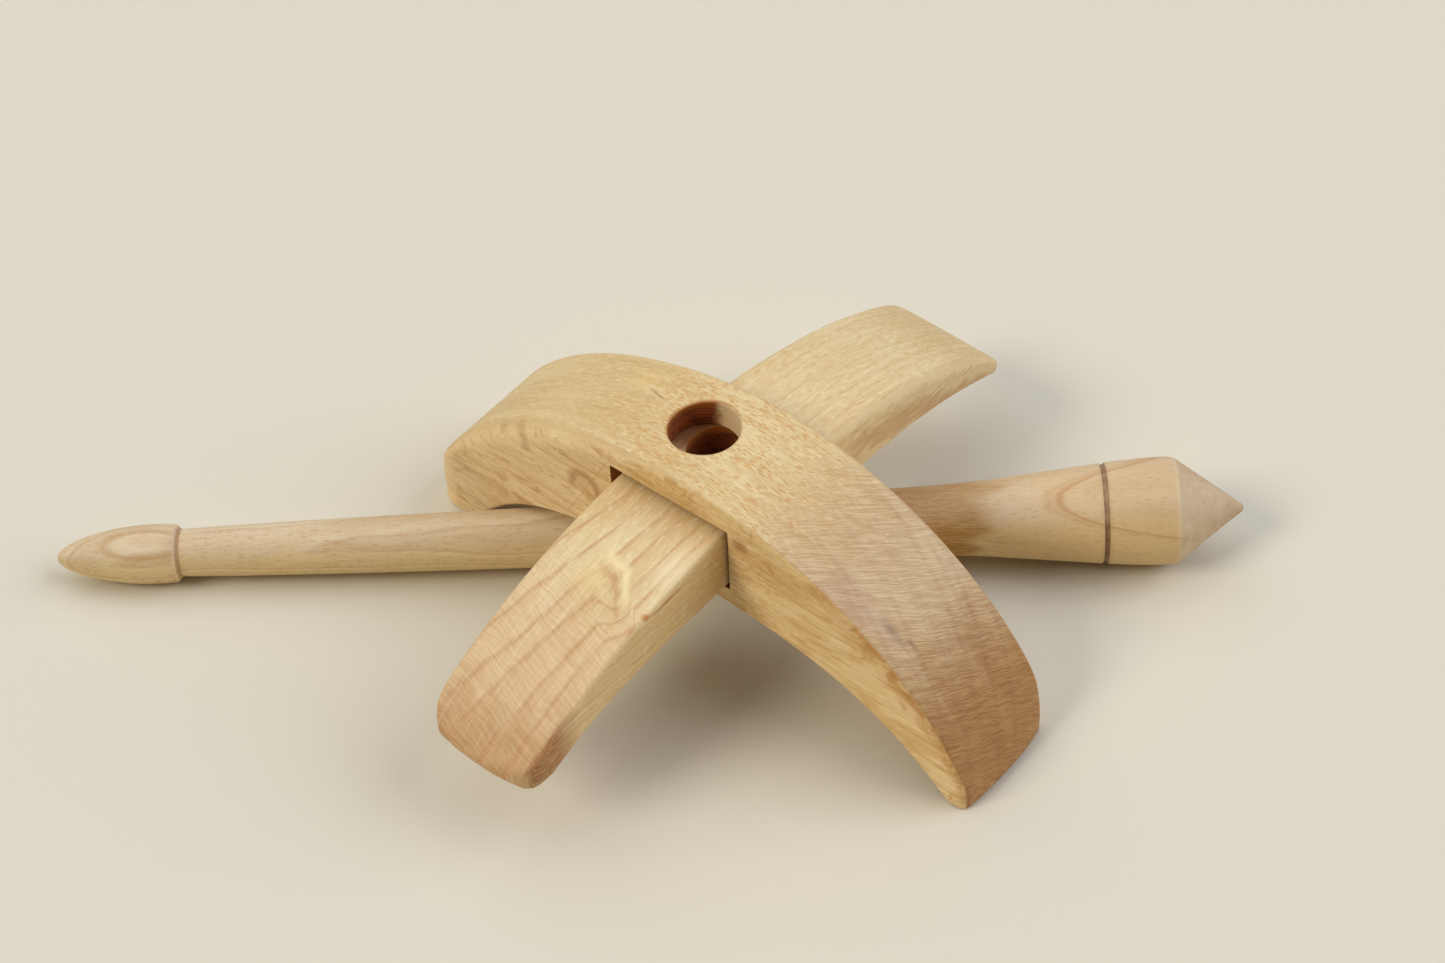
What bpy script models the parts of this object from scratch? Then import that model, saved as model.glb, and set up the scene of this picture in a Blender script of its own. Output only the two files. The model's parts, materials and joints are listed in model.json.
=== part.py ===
"""Turkish drop spindle, laid down: two crossed crescent arms and the turned shaft under them.

Metres, +Z up, floor at Z = 0. +X runs along the shaft from its thin end to its fat
end, and -Y is the side the arms are seen from. The outer arm stands on its two feet, the
inner arm passes through the mortise in it, and the shaft lies loose below the crossing.
"""
import math

import bpy
import bmesh
from mathutils import Matrix, Vector

MM = 0.001

# ---- where the crossing sits --------------------------------------------------------
BORE_X = 12.1 * MM           # centre of the outer arm's bore
BORE_Y = 0.593 * MM
OUTER_YAW = -39.0            # outer arm's length, degrees from +X
INNER_YAW = 48.7             # inner arm's length, degrees from +X

# ---- bore through both arms ---------------------------------------------------------
BORE_R = 6.35 * MM           # half-inch drill
DRILL_LOW = (5.0 * MM, 15.0 * MM)      # where the drills start below the outer and inner arm
DRILL_TOP = 60.0 * MM
DRILL_STEPS = 48

# ---- outer arm: a leaning-ended bow above, an arch between two flat feet below --------
OUTER_CENTRE = 4.0 * MM      # arm's middle, measured along it from the bore
OUTER_SIDE = -0.4 * MM       # arm's centre line, measured across it from the bore
OUTER_HALF = (62.2 * MM, 62.6 * MM)    # middle to back and front tips
OUTER_CORNER = (60.0 * MM, 60.4 * MM)  # middle to the corners, the ends being slightly bowed
OUTER_HIGH = 43.9 * MM
OUTER_ARCH = 19.5 * MM       # height of the arch under it
OUTER_LAND = 57.8 * MM       # middle to where the foot's flat land begins
OUTER_KNEE = (46.5 * MM, 10.3 * MM)    # handle that shapes the arch above the land
OUTER_LEAN = (79.0, 73.0)    # slope of its back and front ends at the tips
OUTER_WIDE = 24.9 * MM

# ---- mortise cut across the outer arm ----------------------------------------------
SLOT_CENTRE = 2.5 * MM       # along the outer arm, from the bore
SLOT_WIDE = 26.0 * MM
SLOT_FLOOR = 23.4 * MM
SLOT_TOP = 38.2 * MM
SLOT_REACH = 30.0 * MM       # half length of its cutter, past the arm's sides

# ---- inner arm ----------------------------------------------------------------------
INNER_ALONG_OUTER = 3.1 * MM   # its middle, along the outer arm from the bore
INNER_ACROSS_OUTER = 1.7 * MM  # its middle, across the outer arm from the bore
INNER_BORE_ALONG = 2.5 * MM    # its own bore, a little out of line with the outer one
INNER_BORE_ACROSS = 1.4 * MM
INNER_HALF = (66.0 * MM, 63.9 * MM)    # its middle to its front and back tips
INNER_CORNER = (64.0 * MM, 63.5 * MM)
INNER_FOOT = 15.9 * MM       # height of its tips above the floor
INNER_HIGH = 21.9 * MM       # crown above its tips
INNER_ARCH = 7.9 * MM        # hollow under it, above its tips
INNER_KNEE = (48.0 * MM, 4.9 * MM)
INNER_LEAN = (46.0, 48.0)    # slope of its front and back ends at the tips
INNER_WIDE = 23.8 * MM
INNER_SWING = 230.0 * MM     # radius of the path it slides on through the mortise
INNER_PIVOT = -2.0 * MM      # that path's centre lies under the mortise, so far from its middle

EDGE = 1.2 * MM              # rounding of the arms' long edges
OUTER_ROUND = (4.0 * MM, 4.0 * MM)     # rounding of the ends' corners seen from above
INNER_ROUND = (4.0 * MM, 2.0 * MM)
TIP_R = 1.9 * MM             # rounding of the arms' tips seen from the side
TRIM = 0.3 * MM              # taken off the very tips by the outline seen from above
ROUND = 0.5523               # handle length of a quarter circle, in radii
LEAN_BASE = 0.24             # handle length at a leaning end, in arm heights,
LEAN_GAIN = 0.0036           # and its gain per degree of slope
CROWN_BASE = 0.73            # handle length at the crown, in half lengths,
CROWN_FALL = 0.003           # and its fall per degree of slope
ARCH_HANDLE = 0.62           # handle length at the arch's top, in half spans
PLAN_SPARE = 0.25 * MM       # the plan outline clears the arm's flat sides by this
PLAN_HANDLE = 2.0 * MM       # handles along the plan outline's straight parts
TIP_HANDLE = 4.0 * MM        # handles at the middle of a bowed end
BOW_SHARE = 0.55             # how far the bow has come where a corner's rounding ends
BOW_IN = 0.11                # and how far its handle leans back there, both in bows
CUTTER_HIGH = 50.0 * MM      # half height of the plan outlines as cutters
CUTTER_Z = 20.0 * MM
EDGE_STEPS = 3
EDGE_ANGLE = 50.0            # degrees between faces above which an edge is rounded
SIDE_STEPS = 12              # points per stretch of the arms' side outlines
PLAN_STEPS = 8
WELD = 0.01 * MM
FLAT_ANGLE = 0.3             # degrees below which neighbouring faces are merged

# ---- shaft ----------------------------------------------------------------------------
SHAFT_Y = 8.793 * MM         # line of its axis on the floor
SHAFT_X = -108.67 * MM       # its thin tip
SHAFT_TIP_Z = 5.159 * MM     # height of its axis at the thin tip
SHAFT_PITCH = 1.32           # degrees the axis climbs towards the fat end
SHAFT_LONG = 217.4           # the rest in millimetres along the axis from the thin tip
BULB_END = 18.3
BULB_R = 5.5
BULB_BLUNT = 0.47            # handle length at the thin tip, in bulb radii
BULB_RUN = 1.6               # handle length where the bulb ends
SHOULDER = 22.4
SHOULDER_R = 5.2
SHOULDER_DROP = (0.1, 0.05)  # the handle before it lies so far back and below the bulb
NECK = 23.4
NECK_R = 4.36
NECK_OUT = (18.0, 0.66)      # handles as steps along the axis and outwards
WAIST = 95.0                 # slim straight stretch the thread winds on
WAIST_R = 5.56
WAIST_IN = (22.0, 0.12)
WAIST_OUT = (30.0, 0.15)
FLARE = 172.0                # from here a straight taper to the burned ring
FLARE_R = 7.08
FLARE_IN = 12.0
RING_AT = 191.5
RING_R = 9.12
RING_WIDE = 1.0
RING_DEEP = 0.25
RING_LIP = 0.15              # slope of the ring groove's sides
RING_RISE = 0.1              # the far side of the groove stands this much higher
RING_OUT = (5.0, 0.45)
RIDGE = 204.8                # crisp ridge where the point begins
FAT_R = 9.82
BELLY = 1.8                  # the thickest place lies so far before the ridge
BELLY_IN = 5.0
BELLY_OUT = 0.8
RIDGE_ROUND = (0.5, 0.42)    # where the ridge's rounding ends, past it and below
RIDGE_IN = 0.1
POINT_SLOPE = 35.6           # degrees between the point's side and the axis
POINT_DROP = 0.3             # the point's side meets the ridge this far below it
POINT_R = 1.5                # rounding of the very point
POINT_BACK = 0.6             # that rounding begins so much earlier
POINT_HANDLES = (0.62, 0.4)  # its handles, in radii where it begins
POINT_AHEAD = 0.3
SHAFT_STEPS = 44
SHAFT_ROWS = 7               # points per stretch of its profile
SHAFT_FLAT = 0.05            # degrees below which neighbouring profile lines are merged
SHARP = 32.0                 # degrees above which an edge is shaded sharp


def clear_scene():
    for ob in list(bpy.data.objects):
        bpy.data.objects.remove(ob, do_unlink=True)


def collection(name, hidden=False):
    coll = bpy.data.collections.new(name)
    bpy.context.scene.collection.children.link(coll)
    coll.hide_render = hidden
    return coll


def material(name, color, roughness):
    mat = bpy.data.materials.new(name)
    mat.use_nodes = True
    shader = mat.node_tree.nodes["Principled BSDF"]
    shader.inputs["Base Color"].default_value = (*color, 1.0)
    shader.inputs["Roughness"].default_value = roughness
    return mat


def bezier_mesh(name, points, steps, closed, half=0.0):
    """Mesh of a Bezier outline; a closed one is filled and extruded both ways.

    points holds (corner, handle in, handle out) in the outline's own plane."""
    curve = bpy.data.curves.new(name, "CURVE")
    curve.dimensions = "2D"
    curve.fill_mode = "BOTH" if closed else "NONE"
    curve.extrude = half
    curve.resolution_u = steps
    spline = curve.splines.new("BEZIER")
    spline.bezier_points.add(len(points) - 1)
    for bez, (co, left, right) in zip(spline.bezier_points, points):
        bez.handle_left_type = "FREE"
        bez.handle_right_type = "FREE"
        bez.co = (*co, 0.0)
        bez.handle_left = (*left, 0.0)
        bez.handle_right = (*right, 0.0)
    spline.use_cyclic_u = closed
    helper = bpy.data.objects.new(name, curve)
    bpy.context.scene.collection.objects.link(helper)
    bpy.context.view_layer.update()
    graph = bpy.context.evaluated_depsgraph_get()
    mesh = bpy.data.meshes.new_from_object(helper.evaluated_get(graph))
    mesh.name = name
    bpy.data.objects.remove(helper, do_unlink=True)
    return mesh


def simplify(mesh, weld, angle):
    """Weld the caps and drop the points that lie on straight lines or flat faces."""
    bm = bmesh.new()
    bm.from_mesh(mesh)
    bmesh.ops.remove_doubles(bm, verts=bm.verts, dist=weld)
    bmesh.ops.recalc_face_normals(bm, faces=bm.faces)
    bmesh.ops.dissolve_limit(bm, angle_limit=math.radians(angle), verts=bm.verts, edges=bm.edges)
    bm.to_mesh(mesh)
    bm.free()
    return mesh


def plate(name, points, half, steps):
    return simplify(bezier_mesh(name, points, steps, True, half), WELD, FLAT_ANGLE)


def side_outline(halves, high, foot, arch, land, knee, leans):
    """Crescent seen from the side: a bow above, an arch below, softened tips."""
    top = foot + high
    low = foot + TIP_R
    curl = ROUND * TIP_R
    reach, lift = knee
    level = foot + lift
    ends = []
    flats = []
    for side, half, lean in zip((-1.0, 1.0), halves, leans):
        slope = Vector((side * math.cos(math.radians(lean)), -math.sin(math.radians(lean))))
        tip = Vector((side * half, low))
        above = tip - slope * high * (LEAN_BASE + LEAN_GAIN * lean)
        shoulder = (side * half * (CROWN_BASE - CROWN_FALL * lean), top)
        ends.append((tip, above, tip + slope * curl, shoulder))
        inner = half - TIP_R
        flat = [((side * inner, foot), (side * (inner + curl), foot), (side * reach, level))]
        if land < inner:
            third = (inner - land) / 3.0
            flat = [
                ((side * inner, foot), (side * (inner + curl), foot), (side * (inner - third), foot)),
                ((side * land, foot), (side * (land + third), foot), (side * reach, level)),
            ]
        flats.append(flat)
    (back, back_up, back_low, back_top), (front, front_up, front_low, front_top) = ends
    span = ARCH_HANDLE * min(land, halves[0] - TIP_R)
    points = [
        (back, back_low, back_up),
        ((0.0, top), back_top, front_top),
        (front, front_up, front_low),
    ]
    points.extend(flats[1])
    points.append(((0.0, foot + arch), (span, foot + arch), (-span, foot + arch)))
    points.extend((co, after, before) for co, before, after in reversed(flats[0]))
    return points


def shaft_outline():
    """Half profile of the turned shaft as (corner, handle in, handle out), tip to tip."""
    slope = math.radians(POINT_SLOPE)
    end_s = SHAFT_LONG - POINT_R * (1.0 - math.sin(slope)) - POINT_BACK
    end_r = FAT_R - POINT_DROP - (end_s - RIDGE) * math.tan(slope)
    flare = (RING_R - FLARE_R) / (RING_AT - FLARE)
    ring_end = RING_AT + RING_WIDE

    def straight(p, q):
        return (p[0] + (q[0] - p[0]) / 3.0, p[1] + (q[1] - p[1]) / 3.0)

    def beside(p, step, sign=1.0):
        return (p[0] + sign * step[0], p[1] + sign * step[1])

    tip = (0.0, 0.0)
    bulb = (BULB_END, BULB_R)
    shoulder = (SHOULDER, SHOULDER_R)
    shoulder_in = (SHOULDER - SHOULDER_DROP[0], BULB_R - SHOULDER_DROP[1])
    neck = (NECK, NECK_R)
    waist = (WAIST, WAIST_R)
    taper = (FLARE, FLARE_R)
    ring_in = (RING_AT, RING_R)
    groove_in = (RING_AT + RING_LIP, RING_R - RING_DEEP)
    groove_out = (ring_end - RING_LIP, RING_R - RING_DEEP)
    ring_out = (ring_end, RING_R + RING_RISE)
    belly = (RIDGE - BELLY, FAT_R)
    ridge = (RIDGE + RIDGE_ROUND[0], FAT_R - RIDGE_ROUND[1])
    nose = (end_s, end_r)
    end = (SHAFT_LONG, 0.0)
    return [
        (tip, tip, (0.0, BULB_BLUNT * BULB_R)),
        (bulb, (0.5 * BULB_END, BULB_R), (BULB_END + BULB_RUN, BULB_R)),
        (shoulder, shoulder_in, straight(shoulder, neck)),
        (neck, straight(neck, shoulder), beside(neck, NECK_OUT)),
        (waist, beside(waist, WAIST_IN, -1.0), beside(waist, WAIST_OUT)),
        (taper, (FLARE - FLARE_IN, FLARE_R - FLARE_IN * flare), straight(taper, ring_in)),
        (ring_in, straight(ring_in, taper), straight(ring_in, groove_in)),
        (groove_in, straight(groove_in, ring_in), straight(groove_in, groove_out)),
        (groove_out, straight(groove_out, groove_in), straight(groove_out, ring_out)),
        (ring_out, straight(ring_out, groove_out), (RING_AT + RING_OUT[0], RING_R + RING_OUT[1])),
        (belly, (RIDGE - BELLY_IN, FAT_R), (RIDGE - BELLY_OUT, FAT_R)),
        (ridge, (RIDGE + RIDGE_IN, FAT_R - RIDGE_IN), straight(ridge, nose)),
        (nose, straight(nose, ridge), (SHAFT_LONG - POINT_AHEAD, end_r * POINT_HANDLES[0])),
        (end, (SHAFT_LONG, end_r * POINT_HANDLES[1]), end),
    ]


def plan_outline(halves, corners, wide, rounds):
    """Arm seen from above: parallel sides, bowed ends, rounded corners."""
    w = wide / 2.0 + PLAN_SPARE
    points = []
    for sx, sy in ((1, -1), (1, 1), (-1, 1), (-1, -1)):
        end_of = 1 if sx > 0 else 0
        half = halves[end_of] - TRIM
        corner = corners[end_of]
        r = rounds[end_of]
        k = ROUND * r
        bow = corner + BOW_SHARE * (half - corner)
        bow_in = BOW_IN * (half - corner)
        start = (sx * (corner - r), sy * w)
        start_arc = (sx * (corner - r + k), sy * w)
        start_flat = (sx * (corner - r - PLAN_HANDLE), sy * w)
        end = (sx * bow, sy * (w - r))
        end_arc = (sx * (bow - bow_in), sy * (w - r + k))
        end_flat = (sx * (bow + 2.0 * bow_in), sy * (w - r - PLAN_HANDLE))
        if sx * sy < 0:
            points.append((start, start_flat, start_arc))
            points.append((end, end_arc, end_flat))
            reach = -sy * TIP_HANDLE
            points.append(((sx * half, 0.0), (sx * half, -reach), (sx * half, reach)))
        else:
            points.append((end, end_flat, end_arc))
            points.append((start, start_arc, start_flat))
    return points


def modifier_boolean(ob, cutter, operation):
    mod = ob.modifiers.new(cutter.name, "BOOLEAN")
    mod.operation = operation
    mod.solver = "EXACT"
    mod.object = cutter


def cutter_object(name, mesh, coll, matrix):
    ob = bpy.data.objects.new(name, mesh)
    coll.objects.link(ob)
    ob.matrix_world = matrix
    ob.display_type = "WIRE"
    ob.hide_render = True
    return ob


def box_mesh(name, low, high):
    bm = bmesh.new()
    bmesh.ops.create_cube(bm, size=1.0)
    size = [b - a for a, b in zip(low, high)]
    centre = [(a + b) / 2.0 for a, b in zip(low, high)]
    bmesh.ops.scale(bm, vec=size, verts=bm.verts)
    bmesh.ops.translate(bm, vec=centre, verts=bm.verts)
    mesh = bpy.data.meshes.new(name)
    bm.to_mesh(mesh)
    bm.free()
    return mesh


def drill_mesh(name, low):
    bm = bmesh.new()
    bmesh.ops.create_cone(
        bm, cap_ends=True, segments=DRILL_STEPS, radius1=BORE_R, radius2=BORE_R, depth=DRILL_TOP - low
    )
    bmesh.ops.translate(bm, vec=(0.0, 0.0, (low + DRILL_TOP) / 2.0), verts=bm.verts)
    mesh = bpy.data.meshes.new(name)
    bm.to_mesh(mesh)
    bm.free()
    return mesh


def place(x, y, yaw, along=0.0, across=0.0, z=0.0):
    """World matrix of a frame at (x, y), turned by yaw and shifted in its own axes."""
    turn = Matrix.Rotation(math.radians(yaw), 4, "Z")
    shift = Matrix.Translation((along, across, z))
    return Matrix.Translation((x, y, 0.0)) @ turn @ shift


def arm(name, mesh, plan, matrix, origin, coll, cutters, mat):
    """Arm whose mesh is an upright plate, trimmed to its plan outline."""
    mesh.transform(Matrix.Rotation(math.radians(90.0), 4, "X"))
    drop = origin.inverted() @ matrix
    mesh.transform(drop)
    ob = bpy.data.objects.new(name, mesh)
    coll.objects.link(ob)
    ob.matrix_world = origin
    ob.data.materials.append(mat)
    bevel = ob.modifiers.new("edge_rounding", "BEVEL")
    bevel.width = EDGE
    bevel.segments = EDGE_STEPS
    bevel.limit_method = "ANGLE"
    bevel.angle_limit = math.radians(EDGE_ANGLE)
    trim = cutter_object(name + "_plan", plan, cutters, matrix @ Matrix.Translation((0.0, 0.0, CUTTER_Z)))
    modifier_boolean(ob, trim, "INTERSECT")
    return ob


def settle(ob):
    """Turn the modified shape into the object's own mesh, smooth but for its sharp edges."""
    bpy.context.view_layer.update()
    graph = bpy.context.evaluated_depsgraph_get()
    mesh = bpy.data.meshes.new_from_object(ob.evaluated_get(graph))
    ob.modifiers.clear()
    ob.data = mesh
    mesh.shade_smooth()
    mesh.set_sharp_from_angle(angle=math.radians(SHARP))


def build():
    clear_scene()
    coll = collection("turkish_drop_spindle")
    cutters = collection("spindle_cutters", hidden=True)

    maple = material("outer_maple", (0.80, 0.63, 0.38), 0.5)
    maple_inner = material("inner_maple", (0.84, 0.69, 0.45), 0.5)
    beech = material("shaft_wood", (0.74, 0.60, 0.42), 0.5)

    # outer arm
    outer_bore = place(BORE_X, BORE_Y, OUTER_YAW)
    outer_at = place(BORE_X, BORE_Y, OUTER_YAW, OUTER_CENTRE, OUTER_SIDE)
    outline = side_outline(OUTER_HALF, OUTER_HIGH, 0.0, OUTER_ARCH, OUTER_LAND, OUTER_KNEE, OUTER_LEAN)
    side = plate("outer_side", outline, OUTER_WIDE / 2.0, SIDE_STEPS)
    outline = plan_outline(OUTER_HALF, OUTER_CORNER, OUTER_WIDE, OUTER_ROUND)
    plan = plate("outer_plan", outline, CUTTER_HIGH, PLAN_STEPS)
    outer = arm("outer_arm", side, plan, outer_at, outer_bore, coll, cutters, maple)

    # mortise, cut square to the inner arm that goes through it
    slot_turn = INNER_YAW - 90.0
    slot_at = outer_bore @ Matrix.Translation((SLOT_CENTRE, 0.0, 0.0))
    slot_frame = Matrix.Translation(slot_at.translation) @ Matrix.Rotation(math.radians(slot_turn), 4, "Z")
    half = SLOT_WIDE / 2.0
    slot = box_mesh("mortise_box", (-half, -SLOT_REACH, SLOT_FLOOR), (half, SLOT_REACH, SLOT_TOP))
    modifier_boolean(outer, cutter_object("mortise", slot, cutters, slot_frame), "DIFFERENCE")

    drill = drill_mesh("outer_drill", DRILL_LOW[0])
    modifier_boolean(outer, cutter_object("outer_bore", drill, cutters, outer_bore), "DIFFERENCE")

    # inner arm, its origin on the axis it swings about as it is drawn through
    middle = outer_bore @ Vector((INNER_ALONG_OUTER, INNER_ACROSS_OUTER, 0.0))
    inner_at = place(middle.x, middle.y, INNER_YAW)
    pivot_z = INNER_FOOT + INNER_ARCH - INNER_SWING
    inner_origin = inner_at @ Matrix.Translation((INNER_PIVOT, 0.0, pivot_z))
    land = INNER_HALF[0]
    outline = side_outline(INNER_HALF, INNER_HIGH, INNER_FOOT, INNER_ARCH, land, INNER_KNEE, INNER_LEAN)
    side = plate("inner_side", outline, INNER_WIDE / 2.0, SIDE_STEPS)
    outline = plan_outline(INNER_HALF, INNER_CORNER, INNER_WIDE, INNER_ROUND)
    plan = plate("inner_plan", outline, CUTTER_HIGH, PLAN_STEPS)
    inner = arm("inner_arm", side, plan, inner_at, inner_origin, coll, cutters, maple_inner)
    drill = drill_mesh("inner_drill", DRILL_LOW[1])
    drill_at = outer_bore @ Matrix.Translation((INNER_BORE_ALONG, INNER_BORE_ACROSS, 0.0))
    modifier_boolean(inner, cutter_object("inner_bore", drill, cutters, drill_at), "DIFFERENCE")

    # shaft: a turned profile, screwed round its own axis, then laid down
    mesh = simplify(bezier_mesh("shaft", shaft_outline(), SHAFT_ROWS, False), MM, SHAFT_FLAT)
    upright = Matrix(((0, 1, 0, 0), (0, 0, 1, 0), (1, 0, 0, 0), (0, 0, 0, 1)))
    mesh.transform(Matrix.Scale(MM, 4) @ upright)
    shaft = bpy.data.objects.new("shaft", mesh)
    coll.objects.link(shaft)
    shaft.data.materials.append(beech)
    screw = shaft.modifiers.new("turning", "SCREW")
    screw.steps = SHAFT_STEPS
    screw.render_steps = SHAFT_STEPS
    screw.use_normal_calculate = True
    screw.use_merge_vertices = True
    screw.merge_threshold = WELD
    lay = Matrix.Rotation(math.radians(90.0 - SHAFT_PITCH), 4, "Y")
    shaft.matrix_world = Matrix.Translation((SHAFT_X, SHAFT_Y, SHAFT_TIP_Z)) @ lay

    for ob in (outer, inner, shaft):
        settle(ob)
    bpy.context.view_layer.update()
    return outer, inner, shaft


build()
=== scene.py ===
"""Looks of a wooden Turkish drop spindle lying on a pale floor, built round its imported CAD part."""

import json
import math

import bpy
import bmesh
import numpy as np
from mathutils import Matrix, Vector, noise


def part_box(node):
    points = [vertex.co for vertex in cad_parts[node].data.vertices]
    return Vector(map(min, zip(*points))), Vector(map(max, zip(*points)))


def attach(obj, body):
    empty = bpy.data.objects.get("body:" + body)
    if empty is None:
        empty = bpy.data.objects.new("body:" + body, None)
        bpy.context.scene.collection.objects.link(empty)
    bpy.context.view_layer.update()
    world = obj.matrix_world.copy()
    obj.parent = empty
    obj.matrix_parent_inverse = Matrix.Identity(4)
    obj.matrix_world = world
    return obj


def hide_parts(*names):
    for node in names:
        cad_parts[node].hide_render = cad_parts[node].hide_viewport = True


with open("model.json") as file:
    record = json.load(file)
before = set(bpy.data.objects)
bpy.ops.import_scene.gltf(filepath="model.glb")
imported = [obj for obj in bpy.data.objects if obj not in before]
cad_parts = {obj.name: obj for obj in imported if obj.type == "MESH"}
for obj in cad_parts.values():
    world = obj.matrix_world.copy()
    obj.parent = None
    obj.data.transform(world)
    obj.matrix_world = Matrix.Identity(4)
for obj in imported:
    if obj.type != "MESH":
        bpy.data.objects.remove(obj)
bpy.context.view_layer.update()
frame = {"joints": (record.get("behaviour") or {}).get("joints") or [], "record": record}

MM = 0.001
ROUND = 0.5523   # handle length of a quarter circle, in radii
WELD = 0.002 * MM   # points closer than this are one

# ---- where each piece lies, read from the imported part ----
MOUNTS = {m["name"]: Vector(m["pos_m"]) for m in frame["record"]["mounts"]}
JOINTS = {j["name"]: j for j in frame["joints"]}
SHAFT_LOW, SHAFT_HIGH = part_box("shaft")

# ---- sizes of the arms, in millimetres, each in its own frame: x along, y across ----
# A pair is for the end at x < 0 and the end at x > 0.
# halves: middle to tip.  corners: (reach, rounding) of each end's near and far corner in plan.
# high: crown above the soles.  foot: soles above the floor.  arch: underside above the soles.
# lands: where the flat soles begin.  knees, span: handles of the underside's curve.
# leans: slope of the tips in degrees.
OUTER = dict(
    halves=(62.2, 62.6), wide=24.9,
    corners=(((61.4, 6.6), (60.6, 5.0)), ((59.9, 1.5), (60.4, 4.0))),
    high=43.9, foot=0.0, arch=19.5,
    lands=(51.0, 57.4), knees=((43.0, 9.5), (46.5, 10.3)), span=35.8, leans=(79.0, 73.0),
)
INNER = dict(
    halves=(66.0, 63.9), wide=23.8,
    corners=(((62.5, 3.0), (64.2, 4.6)), ((63.5, 1.6), (63.5, 3.0))),
    high=21.9, foot=15.9, arch=7.9,
    lands=(58.6, 62.0), knees=((48.0, 4.9), (48.0, 4.9)), span=39.7, leans=(46.0, 48.0),
)
TIP_R = 1.9   # rounding under each tip
LEAN_BASE, LEAN_GAIN = 0.24, 0.0036   # handle at a tip: share of the height, and more per degree
CROWN_BASE, CROWN_FALL = 0.73, 0.003   # handle at the crown: share of a half, and less per degree
CURVE_STEPS, CURL_STEPS, SOLE_STEPS = 200, 30, 12
END_SLACK = 0.25   # the ends in plan, past the tips
END_BOW = 0.55   # how far the ends bow out between corner and tip, as a share
END_SOFTNESS = 0.4   # how gently the ends are cut off
EDGE_PASSES = 14   # how often the roundings of a long edge are averaged
LOWER_EDGE = 0.9   # rounding of the long edges underneath
UNEVEN = 0.05   # depth of the unevenness left by hand
ARM_SHARP, SHAFT_SHARP = 38.0, 30.0   # edges that turn more than so many degrees stay crisp
OUTER_SHIFT = 0.1   # the outer arm's middle, back from between its soles

BORE_R = 6.35
BORE_STEPS = 120
BORE_LOW, BORE_HIGH = 4.0, 60.0   # the drill's two ends above the floor
OUTER_FLARE, INNER_FLARE = 0.28, 0.15   # how much wider a bore breaks out at its top
OUTER_BORE = (-4.0, 0.4)   # the outer arm's bore in its own frame
OUTER_SLOT = (-1.5, 0.4)   # the mortise's middle in the same frame
SLOT_WIDE, SLOT_LONG, SLOT_FLOOR, SLOT_TOP = 26.0, 60.0, 23.4, 38.2
SLOT_WAVE = 0.10   # unevenness of the mortise's walls
INNER_BORE = (-0.32, 0.59)   # the inner arm's bore in its own frame
INNER_PIVOT = -2.0   # the axis it swings about passes under this place on it
KNOT_AT, KNOT_SLANT = (-29.6, -0.8), 0.6   # a place on the fold beside the knot, and its lean
KNOT_HIGH = 0.3


# ---- shapes ----

def ramp(value, start, end):
    """0 at start and 1 at end, straight between and level beyond them."""
    return min(1.0, max(0.0, (value - start) / (end - start)))


def bezier(p0, p1, p2, p3, count):
    """Points of a cubic Bezier, the last one left out."""
    t = np.linspace(0.0, 1.0, count, endpoint=False)[:, None]
    p0, p1, p2, p3 = (np.array(p, float) for p in (p0, p1, p2, p3))
    return (1 - t) ** 3 * p0 + 3 * t * (1 - t) ** 2 * p1 + 3 * t * t * (1 - t) * p2 + t ** 3 * p3


def lengths(points):
    """Distance of each point along the line from its start."""
    steps = np.hypot(*np.diff(points, axis=0).T)
    return np.concatenate([[0.0], np.cumsum(steps)])


def even(points, count):
    """The same line with its points evenly spaced."""
    run = lengths(points)
    at = np.linspace(0.0, run[-1], count + 1)
    return np.stack([np.interp(at, run, points[:, 0]), np.interp(at, run, points[:, 1])], 1)


def arm_chains(a, count):
    """Upper and lower line of an arm's side, tip to tip, as (x, z) in millimetres."""
    foot, top, low = a["foot"], a["foot"] + a["high"], a["foot"] + TIP_R
    curl = ROUND * TIP_R
    upper, lower = [], []
    ends = zip((-1.0, 1.0), a["halves"], a["leans"], a["lands"], a["knees"])
    for side, half, lean, land, (reach, rise) in ends:
        slope = np.array([side * math.cos(math.radians(lean)), -math.sin(math.radians(lean))])
        tip = np.array([side * half, low])
        above = tip - slope * a["high"] * (LEAN_BASE + LEAN_GAIN * lean)
        crown = np.array([side * half * (CROWN_BASE - CROWN_FALL * lean), top])
        inner = half - TIP_R
        upper.append(bezier(tip, above, crown, (0.0, top), CURVE_STEPS))
        sole, edge = (side * inner, foot), (side * land, foot)
        lower.append(np.concatenate([
            bezier(tip, tip + slope * curl, (side * (inner + curl), foot), sole, CURL_STEPS),
            bezier(sole, sole, edge, edge, SOLE_STEPS),
            bezier(edge, (side * reach, foot + rise), (side * a["span"], foot + a["arch"]),
                   (0.0, foot + a["arch"]), CURVE_STEPS),
        ]))
    up = np.concatenate([upper[0], [(0.0, top)], upper[1][::-1]])
    down = np.concatenate([lower[0], [(0.0, foot + a["arch"])], lower[1][::-1]])
    return even(up, count), even(down, count)


def plan_limit(a, y, side):
    """How far from the middle an arm reaches at a distance y from its centre line."""
    end = 1 if side > 0 else 0
    half, w = a["halves"][end] + END_SLACK, a["wide"] / 2.0
    (near, near_r), (far, far_r) = a["corners"][end]
    corner = np.where(y < 0.0, near, far)
    r = np.where(y < 0.0, near_r, far_r)
    bowed = corner + END_BOW * (half - corner)
    ay = np.abs(y)
    inside = half - (half - bowed) * (np.clip(ay, 0.0, w - r) / (w - r)) ** 2
    turn = np.clip((ay - (w - r)) / r, 0.0, 1.0)
    return np.where(ay <= w - r, inside, (corner - r) + (bowed - corner + r) * np.sqrt(1.0 - turn ** 2))


def soft_min(x, limit, softness):
    """The smaller of x and limit, with a gentle turn where they meet."""
    return x - softness * np.logaddexp(0.0, (x - limit) / softness)


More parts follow.
